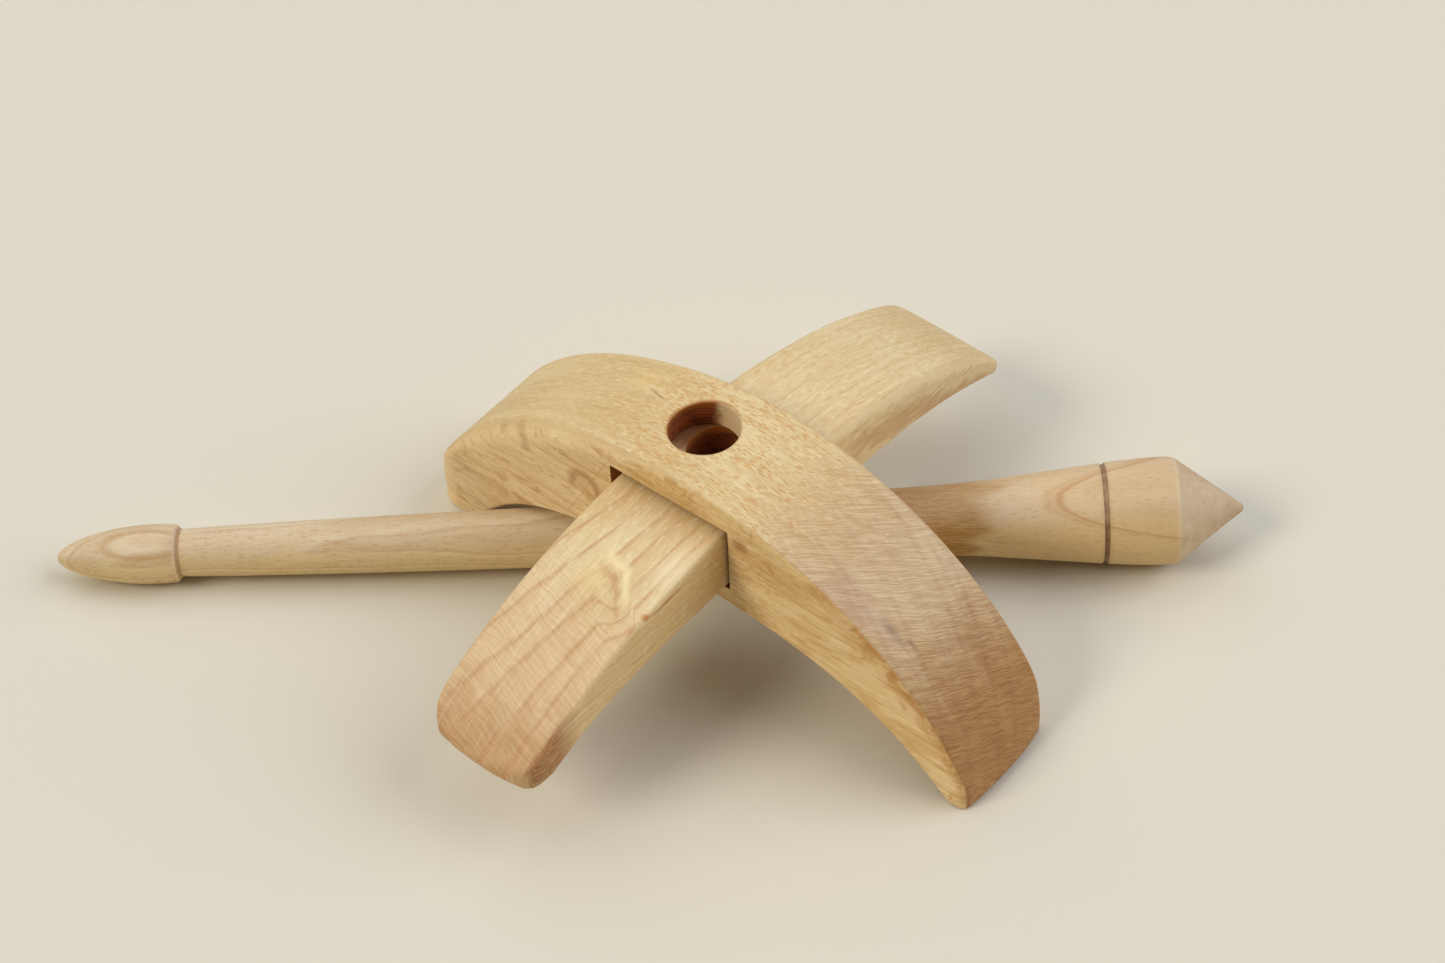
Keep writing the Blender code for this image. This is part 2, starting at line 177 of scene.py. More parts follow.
def closed_mesh(name, verts, faces):
    """Mesh from points in metres, welded and facing outwards."""
    mesh = bpy.data.meshes.new(name)
    mesh.from_pydata(verts, [], faces)
    bm = bmesh.new()
    bm.from_mesh(mesh)
    bmesh.ops.remove_doubles(bm, verts=bm.verts, dist=WELD)
    bmesh.ops.recalc_face_normals(bm, faces=bm.faces)
    bm.to_mesh(mesh)
    bm.free()
    return mesh


def arm_mesh(name, a, edge, columns=260, middle=40, turns=10, rows=16):
    """Arm as a skin of quads: its side outline carried across, its long edges rounded.

    edge(x, upper, side) gives the rounding of a long edge in millimetres."""
    up, down = arm_chains(a, columns)
    loop = np.concatenate([up, down[-2:0:-1]])
    n = len(loop)
    is_up = np.zeros(n)
    is_up[: columns + 1] = 1.0
    ahead, behind = np.roll(loop, -1, 0), np.roll(loop, 1, 0)
    tangent = (ahead - behind) / np.linalg.norm(ahead - behind, axis=1)[:, None]
    outward = np.stack([-tangent[:, 1], tangent[:, 0]], 1)
    w = a["wide"] / 2.0

    radius = {}
    for side in (-1, 1):
        r = np.array([edge(x, u > 0.5, side) for (x, _), u in zip(loop, is_up)])
        for _ in range(EDGE_PASSES):
            r = (np.roll(r, 1) + r + np.roll(r, -1)) / 3.0
        radius[side] = r

    def rounded(side, angles):
        r = radius[side]
        return [(side * (w - r + r * math.sin(ang)), r - r * math.cos(ang)) for ang in angles]

    angles = np.linspace(math.pi / 2.0, 0.0, turns)
    layers = rounded(-1, angles)
    for k in range(1, middle):
        share = k / middle
        layers.append(((radius[-1] - w) * (1 - share) + (w - radius[1]) * share, np.zeros(n)))
    layers += rounded(1, angles[::-1])

    points = []
    for y, inset in layers:
        p = loop - outward * inset[:, None]
        points.append(np.stack([p[:, 0], y + np.zeros(n), p[:, 1]], 1))
    last = len(points) - 1
    faces = []
    for k in range(last):
        for i in range(n):
            j = (i + 1) % n
            faces.append((k * n + i, k * n + j, (k + 1) * n + j, (k + 1) * n + i))
    verts = list(np.concatenate(points))

    # flat sides, as rows of quads between the upper and the lower line
    for k, flip in ((0, True), (last, False)):
        base = k * n
        ring = [base + i for i in range(columns + 1)]
        under = [base] + [base + n - i for i in range(1, columns)] + [base + columns]
        grid = [ring]
        for row in range(1, rows):
            share = row / rows
            line = [ring[0]]
            for i in range(1, columns):
                line.append(len(verts))
                verts.append(verts[ring[i]] * (1 - share) + verts[under[i]] * share)
            line.append(ring[-1])
            grid.append(line)
        grid.append(under)
        for upper_line, lower_line in zip(grid, grid[1:]):
            for i in range(columns):
                quad = [upper_line[i], lower_line[i], lower_line[i + 1], upper_line[i + 1]]
                quad = list(dict.fromkeys(quad))
                faces.append(tuple(quad[::-1] if flip else quad))

    co = np.array(verts)
    for side in (-1.0, 1.0):
        limit = plan_limit(a, co[:, 1], side)
        past = co[:, 0] * side > 0
        co[past, 0] = side * soft_min(co[past, 0] * side, limit[past], END_SOFTNESS)
    return closed_mesh(name, [tuple(p * MM) for p in co], faces), up


def knot_ridge(x, y):
    """Distance from the line of the fold beside the knot, negative towards the front foot."""
    return x - KNOT_AT[0] - (y - KNOT_AT[1]) * KNOT_SLANT


def knot_fold(x, y):
    """Height of the fold the knot raises on the inner arm's front half, 0 to 1."""
    along = ramp(y, 3.6, 0.6) * ramp(y, -13.0, -8.0)
    return math.exp(-((knot_ridge(x, y) + 0.4) / 1.5) ** 2) * along


def hand_worked(mesh, seed, keep_flat=None, raised=None):
    """Slight unevenness of a shape sanded by hand, inwards but where it is raised."""
    normals = [v.normal.copy() for v in mesh.vertices]
    for v, nrm in zip(mesh.vertices, normals):
        if keep_flat and keep_flat(v.co):
            continue
        p = v.co / MM
        dent = noise.noise(Vector((p.x * 0.06 + seed, p.y * 0.1, p.z * 0.1)))
        dent += 0.5 * noise.noise(Vector((p.x * 0.17, p.y * 0.2 + seed, p.z * 0.2)))
        v.co -= nrm * UNEVEN * MM * (0.75 + 0.5 * dent)
        if raised:
            v.co += nrm * KNOT_HIGH * MM * raised(p.x, p.y) * max(0.0, nrm.z)


def bore_cutter(name, x, y, up, flare):
    """Drill whose top flares slightly where it breaks through the curved crown."""
    wide = BORE_R + flare
    verts, faces = [], []
    for k in range(BORE_STEPS):
        ang = 2.0 * math.pi * k / BORE_STEPS
        c, s = math.cos(ang), math.sin(ang)
        top = np.interp(x + BORE_R * c, up[:, 0], up[:, 1])
        chip = 0.06 * noise.noise(Vector((c * 3.1, s * 3.1, 4.7)))
        line = ((BORE_R, BORE_LOW), (BORE_R, top - 0.35), (BORE_R + 0.07, top - 0.14),
                (wide + chip, top + 0.02), (wide + 0.5, top + 0.5), (wide + 0.5, BORE_HIGH))
        verts += [((x + r * c) * MM, (y + r * s) * MM, z * MM) for r, z in line]
    rings = len(line)
    for k in range(BORE_STEPS):
        m = (k + 1) % BORE_STEPS
        for q in range(rings - 1):
            faces.append((k * rings + q, m * rings + q, m * rings + q + 1, k * rings + q + 1))
    faces.append(tuple(k * rings for k in reversed(range(BORE_STEPS))))
    faces.append(tuple(k * rings + rings - 1 for k in range(BORE_STEPS)))
    mesh = bpy.data.meshes.new(name)
    mesh.from_pydata(verts, [], faces)
    return mesh


def slot_cutter(name, turn):
    """Chiselled mortise, as a box with a little unevenness in its walls."""
    bm = bmesh.new()
    bmesh.ops.create_cube(bm, size=1.0)
    bmesh.ops.scale(bm, vec=(SLOT_WIDE, SLOT_LONG, SLOT_TOP - SLOT_FLOOR), verts=bm.verts)
    bmesh.ops.subdivide_edges(bm, edges=bm.edges, cuts=11, use_grid_fill=True)
    for v in bm.verts:
        wave = SLOT_WAVE * noise.noise(v.co * 0.22)
        if abs(v.co.x) > SLOT_WIDE / 2.0 - 0.01:
            v.co.x += wave
        else:
            v.co.z += 0.5 * wave
    bmesh.ops.translate(bm, vec=(0.0, 0.0, (SLOT_TOP + SLOT_FLOOR) / 2.0), verts=bm.verts)
    bmesh.ops.rotate(bm, verts=bm.verts, cent=(0, 0, 0), matrix=Matrix.Rotation(turn, 3, "Z"))
    bmesh.ops.translate(bm, vec=(OUTER_SLOT[0], OUTER_SLOT[1], 0.0), verts=bm.verts)
    bmesh.ops.scale(bm, vec=(MM, MM, MM), verts=bm.verts)
    mesh = bpy.data.meshes.new(name)
    bm.to_mesh(mesh)
    bm.free()
    return mesh


def link(name, data, matrix=Matrix()):
    """New object in the scene."""
    ob = bpy.data.objects.new(name, data)
    bpy.context.scene.collection.objects.link(ob)
    ob.matrix_world = matrix
    return ob


def cut(ob, cutters):
    """Take each (mesh, material) out of the object, in turn, leaving that material on the cut."""
    for mesh, mat in cutters:
        mesh.materials.clear()
        mesh.materials.append(mat)
        tool = link(mesh.name, mesh, ob.matrix_world)
        mod = ob.modifiers.new(mesh.name, "BOOLEAN")
        mod.operation = "DIFFERENCE"
        mod.solver = "EXACT"
        mod.object = tool
        mod.material_mode = "TRANSFER"
        bpy.context.view_layer.update()
        graph = bpy.context.evaluated_depsgraph_get()
        done = bpy.data.meshes.new_from_object(ob.evaluated_get(graph))
        ob.modifiers.clear()
        ob.data = done
        bpy.data.objects.remove(tool, do_unlink=True)


def write_field(mesh, name, values):
    """One number per vertex, for the material to read."""
    field = mesh.attributes.new(name, "FLOAT", "POINT")
    field.data.foreach_set("value", np.asarray(values, np.float32))


def arm_fields(ob, up):
    """What the wood reads: a point's distance along the curved top, and its depth below it."""
    mesh = ob.data
    co = np.zeros(len(mesh.vertices) * 3, np.float32)
    mesh.vertices.foreach_get("co", co)
    co = co.reshape(-1, 3) / MM
    run = lengths(up)
    run -= np.interp(0.0, up[:, 0], run)
    write_field(mesh, "arc", np.interp(co[:, 0], up[:, 0], run))
    depth = np.interp(co[:, 0], up[:, 0], up[:, 1]) - co[:, 2]
    write_field(mesh, "depth", depth)


def settle(ob):
    """Leave the object at the row's origin, its mesh carrying the placement."""
    ob.data.transform(ob.matrix_world)
    ob.matrix_world = Matrix()


def polish(ob, degrees):
    """Smooth shading, but for edges that turn more than so many degrees."""
    ob.data.shade_smooth()
    ob.data.set_sharp_from_angle(angle=math.radians(degrees))


# ---- shaft: distance from the thin tip and radius of each turn of its outline, in mm ----
SHAFT_LONG = 217.4
BULB_END, BULB_R = 18.3, 5.5
SHOULDER, SHOULDER_R = 22.4, 5.2
NECK, NECK_R = 23.4, 4.36
WAIST, WAIST_R = 95.0, 5.56
FLARE, FLARE_R = 172.0, 7.08
RING_AT, RING_R, RING_WIDE, RING_DEEP = 191.5, 9.12, 1.0, 0.25
RIDGE, FAT_R = 204.8, 9.82
POINT_SLOPE = 35.6   # of the blunt cone, in degrees
SHAFT_SIDES = 112
SHAFT_PITCH = 1.32   # how far the lying shaft climbs, in degrees
SHAFT_TIP_HIGH = 5.159   # the thin tip above the floor


def shaft_profile():
    """Half outline of the shaft as (distance, radius), from the thin tip to the blunt one."""
    slope = math.radians(POINT_SLOPE)
    nose_s = SHAFT_LONG - 1.5 * (1.0 - math.sin(slope)) - 0.6
    nose_r = FAT_R - 0.3 - (nose_s - RIDGE) * math.tan(slope)
    flare = (RING_R - FLARE_R) / (RING_AT - FLARE)
    out, groove_r = RING_AT + RING_WIDE, RING_R - RING_DEEP

    # each stretch starts where the last one ended: two handles (none if straight), end, points
    stretches = (
        ((0, 0.47 * BULB_R), (0.5 * BULB_END, BULB_R), (BULB_END, BULB_R), 40),
        ((BULB_END + 1.6, BULB_R), (SHOULDER - 0.1, BULB_R - 0.05), (SHOULDER, SHOULDER_R), 14),
        ((SHOULDER + 0.25, SHOULDER_R - 0.5), (NECK - 0.1, NECK_R + 0.05), (NECK, NECK_R), 10),
        ((NECK + 18, NECK_R + 0.66), (WAIST - 22, WAIST_R - 0.12), (WAIST, WAIST_R), 90),
        ((WAIST + 30, WAIST_R + 0.15), (FLARE - 12, FLARE_R - 12 * flare), (FLARE, FLARE_R), 90),
        (None, None, (RING_AT, RING_R), 24),
        ((RING_AT + 0.05, RING_R - 0.1), (RING_AT + 0.1, groove_r), (RING_AT + 0.3, groove_r), 6),
        (None, None, (out - 0.3, groove_r + 0.04), 4),
        ((out - 0.1, groove_r + 0.05), (out - 0.05, RING_R), (out, RING_R + 0.1), 6),
        ((RING_AT + 5.0, RING_R + 0.45), (RIDGE - 5.0, FAT_R), (RIDGE - 1.8, FAT_R), 20),
        ((RIDGE - 0.8, FAT_R), (RIDGE + 0.1, FAT_R - 0.1), (RIDGE + 0.5, FAT_R - 0.42), 12),
        (None, None, (nose_s, nose_r), 26),
        ((SHAFT_LONG - 0.3, nose_r * 0.62), (SHAFT_LONG, nose_r * 0.4), (SHAFT_LONG, 0), 12),
    )
    start, parts = (0, 0), []
    for leave, arrive, end, count in stretches:
        parts.append(bezier(start, leave or start, arrive or end, end, count))
        start = end
    return np.concatenate(parts + [np.array([start])])


def turned_mesh(name, profile, steps):
    """Profile turned round the x axis into rings of quads with one point at each tip."""
    verts = [(profile[0, 0] * MM, 0.0, 0.0)]
    rings = profile[1:-1]
    for s, r in rings:
        for k in range(steps):
            ang = 2.0 * math.pi * k / steps
            verts.append((s * MM, r * MM * math.cos(ang), r * MM * math.sin(ang)))
    verts.append((profile[-1, 0] * MM, 0.0, 0.0))
    last = len(verts) - 1
    faces = []
    for k in range(steps):
        m = (k + 1) % steps
        faces.append((0, 1 + m, 1 + k))
        for i in range(len(rings) - 1):
            a = 1 + i * steps
            b = a + steps
            faces.append((a + k, a + m, b + m, b + k))
        a = 1 + (len(rings) - 1) * steps
        faces.append((a + k, a + m, last))
    return closed_mesh(name, verts, faces)


# ---- materials ----

def linear(r, g, b):
    """Linear colour of a screen colour given as 0 to 255."""
    def channel(c):
        c /= 255.0
        return c / 12.92 if c <= 0.04045 else ((c + 0.055) / 1.055) ** 2.4
    return (channel(r), channel(g), channel(b), 1.0)


def formula(operation, swapped=False):
    """Method of Sock that writes one sum as a node."""
    def method(self, other):
        pair = (other, self) if swapped else (self, other)
        return self.graph.math(operation, *pair)
    return method


class Sock:
    """A node's output that can be added, multiplied and so on."""

    def __init__(self, graph, socket):
        self.graph = graph
        self.socket = socket

    def __abs__(self):
        return self.graph.math("ABSOLUTE", self)

    __add__, __radd__ = formula("ADD"), formula("ADD", True)
    __sub__, __rsub__ = formula("SUBTRACT"), formula("SUBTRACT", True)
    __mul__, __rmul__ = formula("MULTIPLY"), formula("MULTIPLY", True)
    __truediv__ = formula("DIVIDE")


class Graph:
    """A material's node tree, built by writing formulas.

    at is where the piece's own frame lies, so that the grain runs along the piece."""

    def __init__(self, name, roughness, specular=0.35, at=Matrix()):
        self.at = at
        self.mat = bpy.data.materials.new(name)
        self.mat.use_nodes = True
        self.tree = self.mat.node_tree
        self.shader = self.tree.nodes["Principled BSDF"]
        self.shader.inputs["Roughness"].default_value = roughness
        self.shader.inputs["Specular IOR Level"].default_value = specular
        self.colour = None

    def node(self, kind, **settings):
        made = self.tree.nodes.new(kind)
        for key, value in settings.items():
            setattr(made, key, value)
        return made

    def feed(self, socket, value):
        if isinstance(value, Sock):
            self.tree.links.new(value.socket, socket)
        elif value is not None:
            socket.default_value = value

    def math(self, operation, a, b=None, clamp=False):
        made = self.node("ShaderNodeMath", operation=operation, use_clamp=clamp)
        self.feed(made.inputs[0], a)
        self.feed(made.inputs[1], b)
        return Sock(self, made.outputs[0])

    def length(self, a, b):
        return self.math("SQRT", a * a + b * b)

    def clip(self, a):
        return self.math("ADD", a, 0.0, clamp=True)

    def step(self, value, low, high):
        """0 below low, 1 above high, smooth between; falls instead if low is above high."""
        made = self.node("ShaderNodeMapRange", interpolation_type="SMOOTHSTEP")
        self.feed(made.inputs["Value"], value)
        made.inputs["From Min"].default_value = min(low, high)
        made.inputs["From Max"].default_value = max(low, high)
        if low > high:
            made.inputs["To Min"].default_value = 1.0
            made.inputs["To Max"].default_value = 0.0
        return Sock(self, made.outputs["Result"])

    def bump_at(self, value, centre, width):
        """1 at the centre and 0 beyond width on either side."""
        return self.step(abs(value - centre), width, 0.0)

    def vector(self, place):
        made = self.node("ShaderNodeCombineXYZ")
        for socket, value in zip(made.inputs, place):
            self.feed(socket, value)
        return Sock(self, made.outputs[0])

    def noise(self, place, detail=2.0, rough=0.5, distort=0.0):
        made = self.node("ShaderNodeTexNoise")
        self.feed(made.inputs["Vector"], self.vector(place))
        made.inputs["Scale"].default_value = 1.0
        made.inputs["Detail"].default_value = detail
        made.inputs["Roughness"].default_value = rough
        made.inputs["Distortion"].default_value = distort
        return Sock(self, made.outputs["Fac"])

    def cells(self, place):
        """Distance to the nearest of scattered points, and a random number for that point."""
        made = self.node("ShaderNodeTexVoronoi", feature="F1")
        self.feed(made.inputs["Vector"], self.vector(place))
        made.inputs["Scale"].default_value = 1.0
        made.inputs["Randomness"].default_value = 1.0
        apart = self.node("ShaderNodeSeparateColor")
        self.tree.links.new(made.outputs["Color"], apart.inputs[0])
        return Sock(self, made.outputs["Distance"]), Sock(self, apart.outputs[0])

    def mix(self, share, a, b):
        made = self.node("ShaderNodeMix", data_type="RGBA", blend_type="MIX", clamp_factor=True)
        self.feed(made.inputs[0], share)
        self.feed(made.inputs[6], a)
        self.feed(made.inputs[7], b)
        return Sock(self, made.outputs[2])

    def blend(self, share, first, second):
        """From one screen colour to another."""
        return self.mix(share, linear(*first), linear(*second))

    def cover(self, share, colour):
        """Lay a share of a colour over what the material has so far."""
        self.colour = self.mix(share, self.colour, colour)

    def tint(self, share, *rgb):
        """Lay a share of a plain screen colour over what the material has so far."""
        self.cover(share, linear(*rgb))

    def field(self, name):
        made = self.node("ShaderNodeAttribute", attribute_name=name)
        return Sock(self, made.outputs["Fac"])

    def place(self):
        """The point in the piece's own frame, in millimetres, as x, y and z."""
        return self.own_frame("Object", self.at.translation, MM)

    def facing(self):
        """The surface's direction in the piece's own frame, as x, y and z."""
        return self.own_frame("Normal", (0.0, 0.0, 0.0), 1.0)

    def own_frame(self, output, origin, unit):
        coords = self.node("ShaderNodeTexCoord")
        turned = self.node("ShaderNodeMapping", vector_type="TEXTURE")
        self.tree.links.new(coords.outputs[output], turned.inputs["Vector"])
        turned.inputs["Location"].default_value = origin
        turned.inputs["Rotation"].default_value = self.at.to_euler()
        turned.inputs["Scale"].default_value = (unit, unit, unit)
        apart = self.node("ShaderNodeSeparateXYZ")
        self.tree.links.new(turned.outputs[0], apart.inputs[0])
        return [Sock(self, s) for s in apart.outputs]

    def finish(self, roughness, height, depth):
        """depth is the height's full swing in millimetres."""
        self.feed(self.shader.inputs["Base Color"], self.colour)
        self.feed(self.shader.inputs["Roughness"], roughness)
        bump = self.node("ShaderNodeBump")
        bump.inputs["Strength"].default_value = 1.0
        bump.inputs["Distance"].default_value = depth * MM
        self.feed(bump.inputs["Height"], height)
        self.tree.links.new(bump.outputs[0], self.shader.inputs["Normal"])
        return self.mat


def growth_line(g, u, spacing, drift, width):
    """Thin lines where growth rings meet the surface: crisp on one side, fading on the other."""
    phase = g.math("FRACT", u / spacing + drift)
    crisp = g.step(phase, width / spacing, 0.0)
    before = g.step(phase, 1.0 - 0.5 * width / spacing, 1.0)
    tail = g.step(phase, 1.0, 0.5)
    return g.math("MAXIMUM", crisp, before), tail


def from_centre(g, a, b, oval):
    """How far out a point lies, 1 on the outline of the ellipse."""
    ca, cb, ra, rb = oval
    return g.length((a - ca) / ra, (b - cb) / rb)


def blot(g, a, b, oval, soft=0.6):
    """1 inside an ellipse, falling to 0 at its edge."""
    return g.step(from_centre(g, a, b, oval), 1.0, 1.0 - soft)


def hoop(g, a, b, oval, wide):
    """1 on the outline of an ellipse, 0 off it; wide is in shares of its size."""
    return g.bump_at(from_centre(g, a, b, oval), 1.0, wide)


def dashes(g, along, across, long, short, keep):
    """Scattered short strokes; keep is the share of them that is left out."""
    near, dice = g.cells((along / long, across / short, 0.0))
    return g.step(near, 0.45, 0.2) * g.step(dice, keep, keep + 0.12)


# Where growth lines and single marks lie, in each piece's own millimetres.
# A mark is an ellipse: its centre's two places, then its two half sizes.
OUTER_LINES = (-8.6, -3.2, 2.9, 8.0, 12.5, 17.0, 21.5)
OUTER_MARKS = dict(
    stain=(36.0, -9.5, 11.0, 5.5), spot=(42.0, -7.4, 3.4, 1.9), drop=(45.2, -5.6, 1.8, 1.3),
    strip=(8.2, 40.2, 6.2, 2.3), strip_end=(13.6, 36.4, 2.6, 2.6),
    hook=(-38.6, 29.6, 3.6, 3.2), hook_eye=(-38.6, 29.4, 2.8, 2.6),
    arch=(-21.6, 28.0, 3.0, 3.5), arch_eye=(-21.6, 27.6, 2.0, 3.0),
    crease=(-16.8, 3.2, 3.2, 0.28), honey=(-21.5, 6.0, 5.0, 4.0),
)
INNER_LINES = (7.4, 3.3, -0.7, -3.6, -7.0, -9.8)
INNER_MARKS = dict(
    bulge=(-33.0, 1.6, 5.6, 4.6), painted_highlight=(-24.5, -8.6, 6.5, 3.4), dot=(-33.9, 30.0, 1.1, 0.8),
    crack=(-29.0, 37.0, 5.5, 0.6),
)
BULB_LOOP, BULB_EYE = (17.0, 1.6, 7.5, 2.5), (17.0, 1.6, 6.6, 2.1)
FAN_FROM, FAN_LONG = -17.0, 45.0   # where the inner arm's lines fan out, and over what run


def outer_maple(at):
    """Honey maple: flecked crown, pinkish rippled front half, golden sides brightened as painted light,
    caramel feet partly darkened as painted shade.
    """
    g = Graph("outer_maple_wood", 0.5, at=at)
    marks = OUTER_MARKS
    x, y, z = g.place()
    _, ny, _ = g.facing()
    arc, depth = g.field("arc"), g.field("depth")
    side = g.step(abs(ny), 0.45, 0.85)
    top = 1.0 - side
    across = y * top + (z + x * 0.03) * side
    slow = g.noise((x * 0.03, across * 0.12, y * 0.03)) - 0.5
    mid = g.noise((x * 0.09, across * 0.3, 5.0)) - 0.5
    front = g.step(x + mid * 10.0 - y * 0.1, 12.0, 30.0)
    back = g.step(x + slow * 12.0, -12.0, -30.0)

    # ground colour of each region
    broad = g.noise((x * 0.035, across * 0.15, 2.0), 3.0, 0.55)
    wide = g.step(broad, 0.34, 0.66)
    g.colour = g.blend(wide, (230, 207, 160), (218, 190, 137))
    g.cover(back * 0.9, g.blend(wide, (226, 199, 150), (214, 183, 128)))
    g.cover(front * 0.95, g.blend(wide, (218, 190, 152), (207, 172, 126)))
    # caramel towards the front foot: partly the wood's tone, partly painted shade
    low = g.step(x + mid * 8.0, 40.0, 58.0)
    g.cover(low * 0.85, g.blend(wide, (172, 118, 56), (150, 98, 40)))
    # golden side faces: the wood's colour, made brighter than the top as painted light on the sides
    swirl = g.noise((x * 0.06, z * 0.16, 1.0), 3.0, 0.6, 1.4)
    gold = g.blend(g.step(swirl, 0.38, 0.64), (232, 196, 134), (249, 222, 168))
    g.cover(side, gold)
    g.tint(side * back * 0.3, 255, 238, 200)
    tips = g.step(abs(x) + mid * 6.0, 50.0, 60.0)
    g.tint(tips * top * 0.35, 166, 114, 60)

    # streaks and fibres along the grain
    streak = g.noise((x * 0.035, across * 0.7, 4.0), 3.0, 0.6)
    g.tint(g.step(streak, 0.5, 0.72) * (0.2 + side * 0.2), 190, 140, 84)
    pale_streak = g.step(streak, 0.48, 0.28) * (0.22 + side * 0.1)
    g.tint(pale_streak * (1.0 - front * 0.8), 246, 226, 180)
    fibre = g.noise((x * 0.28, across * 4.6, 8.0), 4.0, 0.65)
    g.tint(g.step(fibre, 0.52, 0.78) * (0.24 + side * 0.18), 188, 134, 78)
    g.tint(g.step(fibre, 0.47, 0.24) * (0.28 - front * 0.16), 248, 228, 186)
    cloud = g.noise((x * 0.55, across * 1.7, 3.0), 3.0, 0.62)
    plain = 1.0 - front * 0.85
    g.tint(g.step(cloud, 0.5, 0.7) * plain * 0.3, 196, 150, 92)
    g.tint(g.step(cloud, 0.48, 0.3) * plain * 0.36, 250, 234, 194)

    # ray flecks: along the arm on the crown, turning to lie across it towards the front
    crown = g.step(abs(x - 2.0 + mid * 16.0), 30.0, 14.0)
    patchy = g.step(g.noise((x * 0.08, y * 0.14, 2.0)), 0.3, 0.5)
    fleck = dashes(g, arc, across + mid * 1.6, 1.7, 0.4, 0.12) * crown * patchy
    fleck = g.math("MAXIMUM", fleck, dashes(g, arc + 5.0, across + slow, 2.2, 0.48, 0.3) * crown * 0.8)
    paler = dashes(g, arc + 9.0, across + mid, 2.6, 0.6, 0.25) * crown
    g.tint(paler * 0.34, 248, 232, 188)
    turned_a, turned_b = arc * 0.72 + y * 0.69, y * 0.72 - arc * 0.69
    between = g.bump_at(x, 24.0, 15.0) * top
    slanting = dashes(g, turned_a, turned_b + mid, 2.4, 0.5, 0.3) * between
    g.tint(fleck * (0.74 - side * 0.25), 208, 148, 74)
    g.tint(slanting * 0.36, 204, 146, 100)

    # fine ripples across the front half, and the growth lines they dot
    lean = 0.87 - g.step(x, 26.0, 58.0) * 0.37
    along_ripple = arc - y * lean + mid * 1.2
    wave = g.noise((along_ripple * 5.4, y * 0.24 + arc * 0.1, 0.5), 2.0, 0.6)
    ripple = g.step(wave, 0.42, 0.6)
    rippled = g.step(x + mid * 8.0, 6.0, 28.0) * top
    g.tint(ripple * rippled * (0.28 + low * 0.26), 160, 106, 56)
    pale = g.blend(low, (244, 222, 184), (206, 158, 96))
    g.cover((1.0 - ripple) * rippled * (0.24 + low * 0.2), pale)
    u = y + (OUTER["high"] - z) * 0.5 + slow * 1.5
    line = 0.0
    for at_u in OUTER_LINES:
        line = g.bump_at(u + mid * 1.5, at_u, 1.1) + line
    dotted = 0.5 + ripple * 0.5
    g.tint(line * dotted * front * top * (0.14 + low * 0.2), 158, 106, 72)
    band = g.noise((u * 0.5, 1.0, 1.0))
    g.tint(g.step(band, 0.5, 0.7) * front * top * 0.16, 176, 126, 88)

    # side faces: level dark streaks, deeper gold under the crisp front edge
    level, level_tail = growth_line(g, z + x * 0.03 + slow * 3.0 + mid * 1.2, 2.6, 0.2, 0.5)
    strong = g.step(g.noise((x * 0.05, z * 0.25, 9.0)), 0.4, 0.65)
    g.tint(level * side * strong * 0.34, 182, 124, 60)
    g.tint(level_tail * side * 0.14, 190, 136, 72)
    edge_gold = g.step(depth + mid * 3.0, 6.5, 1.0) * side * g.step(x, 24.0, 36.0)
    curl = g.noise((x * 0.11, z * 0.17, 6.0), 3.0, 0.6, 2.2)
    g.tint(edge_gold * (0.3 + g.step(curl, 0.44, 0.58) * 0.5), 188, 128, 54)
    g.tint(g.step(curl, 0.54, 0.68) * side * 0.42, 192, 134, 66)
    g.tint(g.step(curl, 0.36, 0.26) * side * 0.5, 246, 220, 164)

    # single marks: stain, strip above the mortise, curl and arch on the back half, layout lines
    stained = blot(g, x + mid * 6.0, y + slow * 3.0, marks["stain"], 0.9) * top
    g.tint(stained * 0.34, 182, 140, 128)
    spot = blot(g, x + mid * 8.0, y + slow * 4.0, marks["spot"], 0.98)
    spot = g.math("MAXIMUM", spot, blot(g, x, y + mid * 5.0, marks["drop"], 0.98)) * top
    g.tint(spot * 0.5, 134, 94, 84)
    near = g.step(ny, -0.3, -0.6)
    slant = z + (x - 8.0) * 0.6
    strip = blot(g, x, slant + mid * 2.5, marks["strip"], 0.9) * near
    g.tint(strip * 0.4, 250, 216, 160)
    corner = blot(g, x, z + mid * 2.0, marks["strip_end"], 0.9) * near
    g.tint(corner * 0.6, 150, 92, 40)
    hook = hoop(g, x + mid * 2.0, z, marks["hook"], 0.5) * g.step(z, 28.2, 29.6) * near
    g.tint(hook * 0.4, 182, 128, 68)
    g.tint(blot(g, x, z, marks["hook_eye"]) * near * 0.35, 240, 212, 156)
    arch = hoop(g, x + mid, z, marks["arch"], 0.55) * g.step(z, 26.6, 27.6) * near
    g.tint(arch * 0.55, 162, 108, 56)
    g.tint(blot(g, x, z, marks["arch_eye"]) * near * 0.25, 184, 134, 80)
    slanted = (z - 36.0) * 0.55
    scribe = g.bump_at(x + 17.0 - slanted, 0.0, 0.2)
    scribe = g.math("MAXIMUM", scribe, g.bump_at(x + 18.5 - slanted, 0.0, 0.16) * 0.5)
    scribe = scribe * near * 0.45 * g.step(z, 15.0, 20.0) * g.step(z, 41.0, 38.0)
    g.tint(scribe * 0.5, 130, 86, 46)
    crease = blot(g, x, y + (x + 17.0) * 0.31, marks["crease"]) * top
    g.tint(crease * 0.6, 170, 116, 66)
    g.tint(blot(g, x, y, marks["honey"], 0.9) * top * 0.3, 240, 208, 134)

    # worn, darkened rim of the bore, widest at its far left
    dx, dy = x - OUTER_BORE[0], y - OUTER_BORE[1]
    from_bore = g.length(dx, dy)
    far_left = g.step(dy * 0.6 - dx * 0.8, -2.0, 5.0)
    worn = g.noise((x * 0.6, y * 0.6, z * 0.3)) - 0.5
    rim = g.step(from_bore + worn * 0.7 - far_left * 0.35, BORE_R + 0.6, BORE_R - 0.05)
    g.tint(rim * (0.4 + far_left * 0.4), 166, 104, 44)

